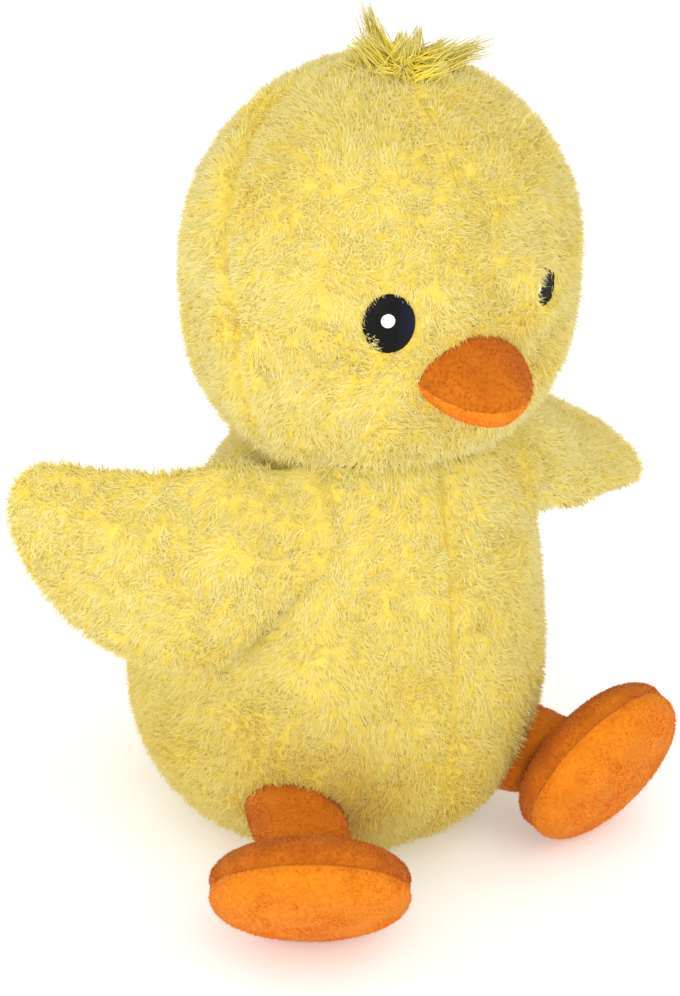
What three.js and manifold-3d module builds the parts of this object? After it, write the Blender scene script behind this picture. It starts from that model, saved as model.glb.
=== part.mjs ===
// A plush chick: fur-cloth panels sewn over stuffing, with orange legs, feet and bill.
// Millimetres, +Z up. The chick looks along -Y, its left is +X, and it sits on z = 0.
import * as THREE from "three";
import { mergeVertices } from "three/addons/utils/BufferGeometryUtils.js";
import Module from "manifold-3d";

const wasm = await Module();
wasm.setup();

// Cloth and clearances
const furCloth = 2.0; // backing with its pile pressed flat
const footCloth = 1.4; // short-nap orange cloth
const patchCloth = 1.2; // thickness of an embroidered patch
const gap = 0.3; // between pieces that touch
const seamGap = 0.3; // between the edges of two panels sewn together
const swingStep = 8; // degrees between the places at which a limb is kept clear of what carries it

// Head: a ball, fuller below the middle, pinched a little along the ear-to-ear seam
const head = {
  y: -23,
  z: 146,
  halfWidth: 43.5,
  front: 37,
  back: 38.5,
  halfHeight: 43,
  crownPower: 1.0,
  jowlPower: 0.68,
  seamDip: 1.4,
  seamReach: 0.2,
};

// Neck: a firm ball of stuffing, with a notch around it that lets the head nod
const neck = { y: -23, z: 108, ballRadius: 20.5, notchSlope: 4.5 };

// Body: its fullest sizes, and the share of each that it has at rising heights
const body = { height: 113, halfWidth: 45.5, front: 54.5, back: 50.5 };
const bodyStations = [
  { z: 0, half: 0.615, front: 0.5505, back: 0.5941 },
  { z: 0.044, half: 0.802, front: 0.706, back: 0.832 },
  { z: 0.177, half: 0.967, front: 0.908, back: 1 },
  { z: 0.354, half: 1, front: 0.991, back: 0.98 },
  { z: 0.549, half: 0.923, front: 1, back: 0.792 },
  { z: 0.726, half: 0.813, front: 0.963, back: 0.475 },
  { z: 0.876, half: 0.692, front: 0.899, back: 0.198 },
  { z: 1, half: 0.604, front: 0.826, back: 0.04 },
];
const bellySeam = { dip: 0.9, reach: 0.16 };

// Wings: the root seam runs up the front of the flank between two places, given by turn from the front
const wing = {
  rootLow: { turn: 46, z: 79 },
  rootTop: { turn: 55, z: 104.5 },
  length: 66.5,
  rootHalfChord: 10.5,
  wideHalfChord: 21.5,
  wideAt: 0.35,
  tipPower: 2.2,
  rootHalfThickness: 2.6,
  halfThickness: 6.5,
  bendBy: 0.5,
  rings: 12,
  swing: [-4, 30],
};
const wingRest = {
  left: { sweep: 41, raise: -16, twist: -54, sag: -11 },
  right: { sweep: 38, raise: 3, twist: 0, sag: 11.5 },
};

// Legs: stuffed tubes between the body and the top of the foot, fullest half way
const leg = {
  midRadius: 10.2,
  endRadius: 9.4,
  hipTurn: 43,
  hipHeight: 19,
  ankleBack: 7.5,
  tuckInBody: 16,
  tuckInFoot: 9,
  hipSwing: [-2, 12],
  ankleFlex: [-8, 8],
};
const legRest = {
  left: { splay: 16, toeLift: 68, heelX: 40.6, heelY: -47.1 },
  right: { splay: 30, toeLift: 49, heelX: 36, heelY: -53.5 },
};
const foot = { halfLength: 20.5, halfWidth: 22, halfThickness: 9.2, rimPower: 0.8, lift: 0.2 };

// Bill: two padded panels that meet in a pointed corner at each side
const bill = {
  z: 132.5,
  rootY: -56.5,
  halfWidth: 12.2,
  halfHeight: 8.8,
  reach: 17.5,
  cornerPower: 1.22,
  droop: 10,
};

// Eyes and their highlights lie on the face
const eye = { x: 18.4, z: 146.4, halfWidth: 5.4, halfHeight: 6.8 };
const highlight = { side: 0.4, up: 1.0, radius: 1.9 };

// Hair tuft: tapered locks from one patch on the crown
const tuft = { x: 3, y: -25, patchRadius: 6.5, patchThick: 2, lockRadius: 2.4, lockSides: 5, lockSteps: 4 };
const locks = [
  { turn: 215, start: 4, lean: 14, bend: 16, length: 15 },
  { turn: 262, start: 4, lean: 26, bend: 26, length: 12 },
  { turn: 150, start: 4, lean: 30, bend: 25, length: 8 },
  { turn: 70, start: 4, lean: 65, bend: 10, length: 16.5 },
  { turn: 60, start: 4, lean: 40, bend: 20, length: 11 },
  { turn: 330, start: 4, lean: 40, bend: 30, length: 9 },
  { turn: 60, start: 0, lean: 14, bend: 20, length: 9 },
];

// Facets of an outer face, of a face under the cloth, and of small pieces
const fine = { around: 32, rings: 14 };
const coarse = { around: 20, rings: 10 };
const small = { around: 16, rings: 6 };

// Finishes
const yellowFur = { color: 0xe6d069, roughness: 0.95, metalness: 0 };
const goldenFur = { color: 0xe9c930, roughness: 0.95, metalness: 0 };
const orangeCloth = { color: 0xee8427, roughness: 0.9, metalness: 0 };
const blackThread = { color: 0x15140f, roughness: 0.5, metalness: 0 };
const whiteThread = { color: 0xf6f6f2, roughness: 0.5, metalness: 0 };
const whiteFibre = { color: 0xf1efe6, roughness: 1, metalness: 0 };

const radians = THREE.MathUtils.degToRad;
const sides = { left: 1, right: -1 };
const upward = new THREE.Vector3(0, 0, 1);

// Solids

function solidFromGeometry(geometry) {
  geometry.deleteAttribute("normal");
  geometry.deleteAttribute("uv");
  const merged = mergeVertices(geometry, 1e-4);
  const corners = merged.index.array;
  const faces = [];
  for (let i = 0; i < corners.length; i += 3) {
    const face = [corners[i], corners[i + 1], corners[i + 2]];
    if (new Set(face).size === 3) {
      faces.push(...face);
    }
  }
  const solidMesh = new wasm.Mesh({
    numProp: 3,
    vertProperties: new Float32Array(merged.attributes.position.array),
    triVerts: new Uint32Array(faces),
  });
  return new wasm.Manifold(solidMesh);
}

// A closed solid through rings of points that turn anticlockwise as seen from the far end.
function solidFromRings(rings, start, end) {
  const around = rings[0].length;
  const points = [start, ...rings.flat(), end];
  const last = points.length - 1;
  const at = (ring, i) => 1 + ring * around + (i % around);
  const faces = [];
  for (let i = 0; i < around; i++) {
    faces.push(0, at(0, i + 1), at(0, i));
    for (let ring = 0; ring + 1 < rings.length; ring++) {
      faces.push(at(ring, i), at(ring, i + 1), at(ring + 1, i + 1));
      faces.push(at(ring, i), at(ring + 1, i + 1), at(ring + 1, i));
    }
    faces.push(last, at(rings.length - 1, i), at(rings.length - 1, i + 1));
  }
  const solidMesh = new wasm.Mesh({
    numProp: 3,
    vertProperties: new Float32Array(points.flatMap((p) => p.toArray())),
    triVerts: new Uint32Array(faces),
  });
  return new wasm.Manifold(solidMesh);
}

function ball(center, radius, facets) {
  const geometry = new THREE.SphereGeometry(radius, facets.around, facets.rings);
  geometry.rotateX(Math.PI / 2);
  geometry.translate(center.x, center.y, center.z);
  return solidFromGeometry(geometry);
}

// The space that clears a ball of a radius however the ball is turned in it.
function socketFor(center, radius, facets) {
  const flatness = Math.cos(Math.PI / facets.around) * Math.cos(Math.PI / (2 * facets.rings));
  return ball(center, (radius + gap) / flatness, facets);
}

// A sheet of cloth between two grids of points with the same rows and columns, closed all round.
function sheetSolid(outer, inner) {
  const rows = outer.length;
  const columns = outer[0].length;
  const faces = [];
  const out = (row, column) => row * columns + column;
  const under = (row, column) => (rows + row) * columns + column;
  const quad = (a, b, c, d) => faces.push(a, b, c, a, c, d);
  const last = columns - 1;
  for (let row = 0; row + 1 < rows; row++) {
    for (let c = 0; c < last; c++) {
      quad(out(row, c), out(row, c + 1), out(row + 1, c + 1), out(row + 1, c));
      quad(under(row, c), under(row + 1, c), under(row + 1, c + 1), under(row, c + 1));
    }
    quad(out(row, 0), out(row + 1, 0), under(row + 1, 0), under(row, 0));
    quad(out(row + 1, last), out(row, last), under(row, last), under(row + 1, last));
  }
  for (let c = 0; c < last; c++) {
    quad(out(0, c + 1), out(0, c), under(0, c), under(0, c + 1));
    quad(out(rows - 1, c), out(rows - 1, c + 1), under(rows - 1, c + 1), under(rows - 1, c));
  }
  const geometry = new THREE.BufferGeometry().setFromPoints([...outer.flat(), ...inner.flat()]);
  geometry.setIndex(faces);
  return solidFromGeometry(geometry);
}

// The swing of the piece that carries a limb, seen from the limb.
function opposite(range) {
  return [-range[1], -range[0]];
}

// What is left of a limb when its neighbour has swung about the seam between them to both limits.
function clearOfSwing(limb, neighbour, seam, range) {
  const steps = Math.ceil((range[1] - range[0]) / swingStep);
  let left = limb;
  for (let step = 0; step <= steps; step++) {
    const angle = radians(range[0] + ((range[1] - range[0]) * step) / steps);
    const move = new THREE.Matrix4().makeTranslation(seam.place);
    move.multiply(new THREE.Matrix4().makeRotationAxis(seam.axis, angle));
    move.multiply(new THREE.Matrix4().makeTranslation(seam.place.clone().negate()));
    left = left.subtract(neighbour.transform(move.toArray()));
  }
  return largestOf(left);
}

// A cut can leave slivers beside the piece that is meant.
function largestOf(solid) {
  const bodies = solid.decompose();
  bodies.sort((a, b) => b.volume() - a.volume());
  return bodies[0];
}

// A round bar whose middle is at a place, along a direction, with an oval section if two radii are given.
function bar(center, direction, across, radiusAcross, radiusUp, length) {
  const outline = new THREE.Shape().absellipse(0, 0, radiusAcross, radiusUp, 0, 2 * Math.PI);
  const geometry = new THREE.ExtrudeGeometry(outline, {
    depth: length,
    bevelEnabled: false,
    curveSegments: small.around / 2,
  });
  geometry.translate(0, 0, -length / 2);
  const along = direction.clone().normalize();
  const side = across.clone().addScaledVector(along, -across.dot(along)).normalize();
  const up = along.clone().cross(side);
  geometry.applyMatrix4(new THREE.Matrix4().makeBasis(side, up, along).setPosition(center));
  return solidFromGeometry(geometry);
}

function keepBeyond(solid, normal, through) {
  const offset = normal.dot(through) + seamGap / 2;
  return solid.trimByPlane(normal.toArray(), offset);
}

function addPiece(group, name, solid, finish) {
  const mesh = solid.getMesh();
  const geometry = new THREE.BufferGeometry();
  geometry.setAttribute("position", new THREE.BufferAttribute(mesh.vertProperties, 3));
  geometry.setIndex(new THREE.BufferAttribute(mesh.triVerts, 1));
  geometry.computeVertexNormals();
  const piece = new THREE.Mesh(geometry, new THREE.MeshStandardMaterial(finish));
  piece.name = name;
  group.add(piece);
}

// Head

const headMiddle = new THREE.Vector3(0, head.y, head.z);
const neckMiddle = new THREE.Vector3(0, neck.y, neck.z);

// Turn runs from the front towards the chick's left, and rise from the underside to the crown.
function headPoint(turn, rise, inset) {
  const power = rise < 0 ? head.jowlPower : head.crownPower;
  const out = Math.pow(Math.cos(rise), power);
  const up = Math.sign(rise) * Math.pow(Math.abs(Math.sin(rise)), power);
  const pinch = head.seamDip * Math.exp(-((Math.cos(turn) / head.seamReach) ** 2));
  const depth = Math.cos(turn) > 0 ? head.front : head.back;
  return new THREE.Vector3(
    (head.halfWidth - pinch - inset) * out * Math.sin(turn),
    head.y - (depth - inset) * out * Math.cos(turn),
    head.z + (head.halfHeight - inset) * up,
  );
}

function headSolid(inset, facets) {
  const rings = [];
  for (let ring = 1; ring < facets.rings; ring++) {
    const rise = Math.PI * (ring / facets.rings - 0.5);
    rings.push(turns(facets.around).map((turn) => headPoint(turn, rise, inset)));
  }
  return solidFromRings(rings, headPoint(0, -Math.PI / 2, inset), headPoint(0, Math.PI / 2, inset));
}

function turns(count) {
  return Array.from({ length: count }, (_, i) => (2 * Math.PI * i) / count);
}

// The space that a cone from the neck's middle leaves free, above it (1) or below it (-1).
function neckNotch(sense) {
  const reach = 2 * head.halfWidth;
  const rise = sense * reach * Math.tan(radians(neck.notchSlope));
  const far = -sense * reach;
  const outline = [
    new THREE.Vector2(0, 0),
    new THREE.Vector2(reach, rise),
    new THREE.Vector2(reach, far),
    new THREE.Vector2(0, far),
  ];
  const profile = sense > 0 ? outline.reverse() : outline;
  const geometry = new THREE.LatheGeometry(profile, fine.around);
  geometry.rotateX(Math.PI / 2);
  geometry.translate(neckMiddle.x, neckMiddle.y, neckMiddle.z);
  return solidFromGeometry(geometry);
}

function makeHead() {
  const group = new THREE.Group();
  group.name = "head";
  const socket = socketFor(neckMiddle, neck.ballRadius, coarse).add(neckNotch(1));
  const inner = headSolid(furCloth, coarse);
  const cover = headSolid(0, fine).subtract(inner).subtract(socket);
  for (const [name, side] of Object.entries(sides)) {
    const half = keepBeyond(cover, new THREE.Vector3(side, 0, 0), headMiddle);
    const face = keepBeyond(half, new THREE.Vector3(0, -1, 0), headMiddle);
    const nape = keepBeyond(half, new THREE.Vector3(0, 1, 0), headMiddle);
    addPiece(group, `head_face_${name}`, face, yellowFur);
    addPiece(group, `head_back_${name}`, nape, yellowFur);
  }
  addPiece(group, "head_stuffing", headSolid(furCloth + gap, coarse).subtract(socket), whiteFibre);
  addBill(group);
  addEyes(group);
  addTuft(group);
  return group;
}

function billPoint(around, reach, inset) {
  const taper = Math.sqrt(Math.max(0, 1 - reach * reach));
  const across = Math.sign(Math.cos(around)) * Math.pow(Math.abs(Math.cos(around)), bill.cornerPower);
  const up = Math.sign(Math.sin(around)) * Math.pow(Math.abs(Math.sin(around)), bill.cornerPower);
  const forward = (bill.reach - inset) * reach;
  return new THREE.Vector3(
    (bill.halfWidth - inset) * taper * across,
    bill.rootY - forward,
    bill.z + (bill.halfHeight - inset) * taper * up - forward * Math.tan(radians(bill.droop)),
  );
}

function billSolid(inset, facets) {
  const rings = [];
  for (let ring = 0; ring < facets.rings; ring++) {
    const reach = Math.sin((Math.PI / 2) * (ring / facets.rings));
    rings.push(turns(facets.around).map((around) => billPoint(around, reach, inset)));
  }
  const root = new THREE.Vector3(0, bill.rootY, bill.z);
  return solidFromRings(rings, root, billPoint(0, 1, inset));
}

function addBill(group) {
  const face = headSolid(-gap, fine);
  const root = new THREE.Vector3(0, bill.rootY, bill.z);
  const slant = new THREE.Vector3(0, -Math.sin(radians(bill.droop)), Math.cos(radians(bill.droop)));
  const inner = billSolid(footCloth, small);
  const cover = billSolid(0, small).subtract(inner).subtract(face);
  addPiece(group, "bill_upper", keepBeyond(cover, slant, root), orangeCloth);
  addPiece(group, "bill_lower", keepBeyond(cover, slant.clone().negate(), root), orangeCloth);
  addPiece(group, "bill_stuffing", billSolid(footCloth + gap, small).subtract(face), whiteFibre);
}

// Where the eye's middle meets the face, and the direction that the face looks in there.
function eyePlace(side) {
  const up = (eye.z - head.z) / head.halfHeight;
  const level = Math.sqrt(1 - up * up);
  const across = eye.x / (head.halfWidth * level);
  const ahead = Math.sqrt(1 - across * across);
  const middle = new THREE.Vector3(side * eye.x, head.y - head.front * level * ahead, eye.z);
  const outward = new THREE.Vector3((side * across) / head.halfWidth, -ahead / head.front, 0).normalize();
  return { middle, outward };
}

function addEyes(group) {
  const eyeLayer = headSolid(-gap - patchCloth, fine).subtract(headSolid(-gap, fine));
  const shineBase = 2 * gap + patchCloth;
  const shineLayer = headSolid(-shineBase - patchCloth / 2, fine).subtract(headSolid(-shineBase, fine));
  const depth = 2 * head.front;
  for (const [name, side] of Object.entries(sides)) {
    const { middle, outward } = eyePlace(side);
    const across = upward.clone().cross(outward).normalize();
    const ahead = middle.clone().addScaledVector(outward, depth / 2 - head.front / 4);
    const column = bar(ahead, outward, across, eye.halfWidth, eye.halfHeight, depth);
    addPiece(group, `eye_${name}`, eyeLayer.intersect(column), blackThread);
    const spot = ahead.clone().addScaledVector(across, side * highlight.side);
    spot.addScaledVector(upward, highlight.up);
    const shine = bar(spot, outward, across, highlight.radius, highlight.radius, depth);
    addPiece(group, `eye_${name}_highlight`, shineLayer.intersect(shine), whiteThread);
  }
}

// A tapered lock that bends further from the crown's own direction towards its point.
function lockSolid(lock, base) {
  const away = new THREE.Vector3(Math.sin(radians(lock.turn)), -Math.cos(radians(lock.turn)), 0);
  const across = upward.clone().cross(away);
  const rings = [];
  const middle = base.clone().addScaledVector(away, lock.start);
  for (let step = 0; step < tuft.lockSteps; step++) {
    const share = step / tuft.lockSteps;
    const lean = radians(lock.lean + lock.bend * share);
    const along = upward.clone().multiplyScalar(Math.cos(lean)).addScaledVector(away, Math.sin(lean));
    const sideways = across.clone().cross(along);
    const radius = tuft.lockRadius * (1 - share ** 2);
    const ring = turns(tuft.lockSides).map((around) => {
      const place = middle.clone().addScaledVector(sideways, radius * Math.cos(around));
      return place.addScaledVector(across, radius * Math.sin(around));
    });
    rings.push(ring);
    middle.addScaledVector(along, lock.length / tuft.lockSteps);
  }
  const root = base.clone().addScaledVector(away, lock.start);
  return solidFromRings(rings, root, middle);
}

function addTuft(group) {
  const crown = new THREE.Vector3(tuft.x, tuft.y, head.z + head.halfHeight);
  const layer = headSolid(-gap - tuft.patchThick, fine).subtract(headSolid(-gap, fine));
  const column = bar(crown, upward, new THREE.Vector3(1, 0, 0), tuft.patchRadius, tuft.patchRadius, head.z);
  let hair = layer.intersect(column.trimByPlane([0, 0, 1], head.z));
  const base = crown.clone().setZ(crown.z - tuft.patchThick);
  for (const lock of locks) {
    hair = hair.add(lockSolid(lock, base));
  }
  addPiece(group, "hair_tuft", hair.subtract(headSolid(-gap, fine)), goldenFur);
}

// Body

function curveOf(size) {
  const points = bodyStations.map((s) => new THREE.Vector2(s.z * body.height, size(s)));
  return new THREE.SplineCurve(points);
}

const halfCurve = curveOf((s) => s.half * body.halfWidth);
const frontCurve = curveOf((s) => s.front * body.front);
const backCurve = curveOf((s) => s.back * body.back);

// Share runs from 0 at the seat to 1 at the top of the neck.
function bodyPoint(turn, share, inset) {
  const half = halfCurve.getPoint(share).y - inset;
  const front = frontCurve.getPoint(share).y - inset;
  const back = backCurve.getPoint(share).y - inset;
  const height = halfCurve.getPoint(share).x;
  const pinch = bellySeam.dip * Math.exp(-((Math.sin(turn) / bellySeam.reach) ** 2));
  const depth = (front + back) / 2 - pinch;
  return new THREE.Vector3(
    half * Math.sin(turn),
    (back - front) / 2 - depth * Math.cos(turn),
    inset + (height * (body.height - inset)) / body.height,
  );
}

// The share at which the body's outer face reaches a height.
function bodyShare(height) {
  let low = 0;
  let high = 1;
  for (let step = 0; step < 30; step++) {
    const middle = (low + high) / 2;
    if (halfCurve.getPoint(middle).x < height) {
      low = middle;
    } else {
      high = middle;
    }
  }
  return low;
}

function bodySolid(inset, facets) {
  const rings = [];
  for (let ring = 0; ring <= facets.rings; ring++) {
    rings.push(turns(facets.around).map((turn) => bodyPoint(turn, ring / facets.rings, inset)));
  }
  const middle = (share) => bodyPoint(0, share, inset).lerp(bodyPoint(Math.PI, share, inset), 0.5);
  return solidFromRings(rings, middle(0), middle(1));
}

function makeBody() {
  const group = new THREE.Group();
  group.name = "body";
  const seatFront = frontCurve.getPoint(0).y;
  const seatBack = backCurve.getPoint(0).y;
  const seatMiddle = new THREE.Vector3(0, (seatBack - seatFront) / 2, 0);
  const seatHalf = halfCurve.getPoint(0).y;
  const seatDepth = (seatBack + seatFront) / 2;
  const ahead = new THREE.Vector3(1, 0, 0);
  const seatPanel = (shrink) =>
    bar(seatMiddle, upward, ahead, seatHalf - shrink, seatDepth - shrink, 2 * furCloth);
  const cut = neckNotch(-1).add(socketFor(neckMiddle, neck.ballRadius, coarse));
  const inner = bodySolid(furCloth, coarse);
  const cover = bodySolid(0, fine).subtract(inner).subtract(seatPanel(seamGap)).subtract(cut);
  for (const [name, side] of Object.entries(sides)) {
    const half = keepBeyond(cover, new THREE.Vector3(side, 0, 0), seatMiddle);
    addPiece(group, `body_${name}_panel`, half, yellowFur);
  }
  addPiece(group, "body_seat_panel", seatPanel(2 * seamGap).trimByPlane([0, 0, 1], 0), yellowFur);
  addPiece(group, "body_stuffing", bodySolid(furCloth + gap, coarse).subtract(cut), whiteFibre);
  return group;
}

function makeNeck() {
  const group = new THREE.Group();
  group.name = "neck";
  addPiece(group, "neck_stuffing", ball(neckMiddle, neck.ballRadius, coarse), whiteFibre);
  return group;
}

// Wings: span runs out from the root seam, chord along it, and the third axis through the wing

function wingFrame(name, side) {
  const seamPoint = (turn, z) => {
    const point = bodyPoint(radians(turn), bodyShare(z), 0);
    return point.setX(side * point.x);
  };
  const { rootLow, rootTop } = wing;
  const chord = seamPoint(rootTop.turn, rootTop.z).sub(seamPoint(rootLow.turn, rootLow.z)).normalize();
  const sweep = radians(wingRest[name].sweep);
  const span = new THREE.Vector3(side * Math.cos(sweep), Math.sin(sweep), 0);
  span.addScaledVector(chord, -span.dot(chord)).normalize();
  const through = span.clone().cross(chord);
  const root = seamPoint((rootLow.turn + rootTop.turn) / 2, (rootLow.z + rootTop.z) / 2);
  return new THREE.Matrix4().makeBasis(span, chord, through).setPosition(root);
}

// Half chord and half thickness at a share of the span.
function wingSection(share) {
  const rise = THREE.MathUtils.smoothstep(share, 0, wing.wideAt);
  const fall = Math.max(0, (share - wing.wideAt) / (1 - wing.wideAt));
  const taper = Math.pow(1 - Math.pow(fall, wing.tipPower), 1 / wing.tipPower);
  return {
    chord: (wing.rootHalfChord + (wing.wideHalfChord - wing.rootHalfChord) * rise) * taper,
    thick: (wing.rootHalfThickness + (wing.halfThickness - wing.rootHalfThickness) * rise) * taper,
  };
}

// A wing sags or arches between root and tip. Past its root it is twisted about its span and raised.
function wingPoint(rest, share, chord, thick, inset) {
  const sag = rest.sag * Math.sin(Math.PI * share);
  const place = new THREE.Vector3(share * (wing.length - inset), chord - sag, thick);
  const bend = THREE.MathUtils.smoothstep(share, 0, wing.bendBy);
  place.applyAxisAngle(new THREE.Vector3(1, 0, 0), radians(rest.twist) * bend);
  return place.applyAxisAngle(upward, radians(rest.raise) * bend);
}

// Rings of points from the root to the tip, each over a stretch of the way around the wing.
function wingRings(rest, inset, angles, lift) {
  const rings = [];
  for (let ring = 0; ring <= wing.rings; ring++) {
    const share = Math.sin((Math.PI / 2) * (ring / wing.rings));
    const section = wingSection(share);
    const chord = Math.max(0, section.chord - inset);
    const thick = Math.max(0, section.thick - inset);
    const points = angles.map((around) =>
      wingPoint(rest, share, chord * Math.cos(around), thick * Math.sin(around) + lift, inset),
    );
    rings.push(points);
  }
  return rings;
}

function wingPanel(rest, sense) {
  const steps = coarse.around / 2;
  const angles = Array.from({ length: steps + 1 }, (_, i) => Math.PI * (i / steps + (sense < 0 ? 1 : 0)));
  const lift = (sense * seamGap) / 2;
  return sheetSolid(wingRings(rest, 0, angles, lift), wingRings(rest, furCloth, angles, lift));
}

function makeWing(name, side, carrier) {
  const group = new THREE.Group();
  group.name = `wing_${name}`;
  const frame = wingFrame(name, side);
  frame.decompose(group.position, group.quaternion, group.scale);
  const rest = wingRest[name];
  const bodyAround = carrier.transform(frame.clone().invert().toArray());
  const seam = { place: new THREE.Vector3(0, 0, 0), axis: new THREE.Vector3(0, -side, 0) };
  const add = (piece, solid, finish) => {
    const clear = clearOfSwing(solid, bodyAround, seam, opposite(wing.swing));
    addPiece(group, `wing_${name}_${piece}`, clear, finish);
  };
  add("front", wingPanel(rest, side), yellowFur);
  add("back", wingPanel(rest, -side), yellowFur);
  const rings = wingRings(rest, furCloth + gap, turns(coarse.around), 0);
  const root = middleOf(rings.shift());
  const tip = middleOf(rings.pop());
  add("stuffing", solidFromRings(rings, root, tip), whiteFibre);
  return group;
}

function middleOf(points) {
  const sum = points.reduce((total, point) => total.add(point), new THREE.Vector3(0, 0, 0));
  return sum.divideScalar(points.length);
}

// Legs and feet

// The foot's own axes are across, towards the toe, and up through its top. It stands on its heel's rim.
function footFrame(name, side) {
  const rest = legRest[name];
  const splay = radians(rest.splay);
  const lift = radians(rest.toeLift);
  const outward = new THREE.Vector3(side * Math.sin(splay), -Math.cos(splay), 0);
  const toe = outward.clone().multiplyScalar(Math.cos(lift)).addScaledVector(upward, Math.sin(lift));
  const top = outward.clone().multiplyScalar(-Math.sin(lift)).addScaledVector(upward, Math.cos(lift));
  const across = toe.clone().cross(top);
  const power = 2 / (2 - foot.rimPower);
  const heel = foot.halfLength * Math.sin(lift);
  const rim = foot.halfThickness * Math.cos(lift);
  const lowest = Math.pow(heel ** power + rim ** power, 1 / power);
  const heelBack = foot.halfLength * Math.pow(heel / lowest, power - 1) * Math.cos(lift);
  const rimAhead = foot.halfThickness * Math.pow(rim / lowest, power - 1) * Math.sin(lift);
  const middle = new THREE.Vector3(side * rest.heelX, rest.heelY, lowest + foot.lift);
  middle.addScaledVector(outward, heelBack - rimAhead);
  return new THREE.Matrix4().makeBasis(across, toe, top).setPosition(middle);
}

// Where a leg meets the body, and the level axis that it lifts about there.
function hipSeam(name, side) {
  const place = bodyPoint(radians(leg.hipTurn), bodyShare(leg.hipHeight), 0);
  place.setX(side * place.x);
  const along = ankleSeam(name, side).place.sub(place).setZ(0).normalize();
  return { place, axis: along.cross(upward) };
}

// Where a leg meets the top of its foot, and the axis across the foot.
function ankleSeam(name, side) {
  const frame = footFrame(name, side);
  const top = foot.halfThickness * Math.sqrt(1 - (leg.ankleBack / foot.halfLength) ** 2);
  const place = new THREE.Vector3(0, -leg.ankleBack, top).applyMatrix4(frame);
  return { place, axis: new THREE.Vector3().setFromMatrixColumn(frame, 0) };
}

function footSolid(inset, facets) {
  const rings = [];
  for (let ring = 1; ring < facets.rings; ring++) {
    const rise = Math.PI * (ring / facets.rings - 0.5);
    const out = Math.pow(Math.cos(rise), foot.rimPower);
    const up = Math.sign(rise) * Math.pow(Math.abs(Math.sin(rise)), foot.rimPower);
    const points = turns(facets.around).map((turn) => {
      const across = (foot.halfWidth - inset) * out * Math.sin(turn);
      const ahead = -(foot.halfLength - inset) * out * Math.cos(turn);
      return new THREE.Vector3(across, ahead, (foot.halfThickness - inset) * up);
    });
    rings.push(points);
  }
  const tip = foot.halfThickness - inset;
  return solidFromRings(rings, new THREE.Vector3(0, 0, -tip), new THREE.Vector3(0, 0, tip));
}

function makeFoot(name, side) {
  const group = new THREE.Group();
  group.name = `foot_${name}`;
  footFrame(name, side).decompose(group.position, group.quaternion, group.scale);
  const cover = footSolid(0, coarse).subtract(footSolid(footCloth, small));
  const middle = new THREE.Vector3(0, 0, 0);
  const down = upward.clone().negate();
  addPiece(group, `foot_${name}_top`, keepBeyond(cover, upward, middle), orangeCloth);
  addPiece(group, `foot_${name}_sole`, keepBeyond(cover, down, middle), orangeCloth);
  addPiece(group, `foot_${name}_stuffing`, footSolid(footCloth + gap, small), whiteFibre);
  return group;
}

// Half of a leg's outline, from inside the body to inside the foot.
function legOutline(length, inset) {
  const shares = [0, 0.25, 0.5, 0.75, 1];
  return shares.map((share) => {
    const swell = Math.sin(Math.PI * share);
    const radius = leg.endRadius + (leg.midRadius - leg.endRadius) * swell - inset;
    return new THREE.Vector2(radius, share * (length + leg.tuckInBody + leg.tuckInFoot) - leg.tuckInBody);
  });
}

function makeLeg(name, side, carrier) {
  const group = new THREE.Group();
  group.name = `leg_${name}`;
  const hip = hipSeam(name, side);
  const ankle = ankleSeam(name, side);
  const length = hip.place.distanceTo(ankle.place);
  const along = ankle.place.clone().sub(hip.place).normalize();
  const turned = new THREE.Quaternion().setFromUnitVectors(new THREE.Vector3(0, 1, 0), along);
  const frame = new THREE.Matrix4().compose(hip.place, turned, new THREE.Vector3(1, 1, 1));
  frame.decompose(group.position, group.quaternion, group.scale);
  const inverse = frame.clone().invert();
  const local = (seam) => ({
    place: seam.place.clone().applyMatrix4(inverse),
    axis: seam.axis.clone().transformDirection(inverse),
  });
  const footPlace = inverse.clone().multiply(footFrame(name, side));
  const footSpace = footSolid(-gap, coarse).transform(footPlace.toArray());
  const bodyAround = carrier.transform(inverse.toArray());
  const add = (piece, outline, finish) => {
    const tube = solidFromGeometry(new THREE.LatheGeometry(outline, small.around));
    const clearOfBody = clearOfSwing(tube, bodyAround, local(hip), opposite(leg.hipSwing));
    const clear = clearOfSwing(clearOfBody, footSpace, local(ankle), leg.ankleFlex);
    addPiece(group, `leg_${name}_${piece}`, clear, finish);
  };
  const outer = legOutline(length, 0);
  const inner = legOutline(length, footCloth);
  add("cover", [...outer, ...inner.reverse(), outer[0]], orangeCloth);
  const core = legOutline(length, footCloth + gap);
  const start = new THREE.Vector2(0, core[0].y);
  const end = new THREE.Vector2(0, core[core.length - 1].y);
  add("stuffing", [start, ...core, end], whiteFibre);
  return group;
}

// The whole chick

const chick = new THREE.Group();
chick.name = "plush_chick";
const bodySpace = bodySolid(-gap, fine);
chick.add(makeBody(), makeNeck(), makeHead());
for (const [name, side] of Object.entries(sides)) {
  chick.add(makeWing(name, side, bodySpace), makeLeg(name, side, bodySpace), makeFoot(name, side));
}

export default chick;
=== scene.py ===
import math

import bpy
import numpy as np
from mathutils import Matrix, Vector
from mathutils.kdtree import KDTree


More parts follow.
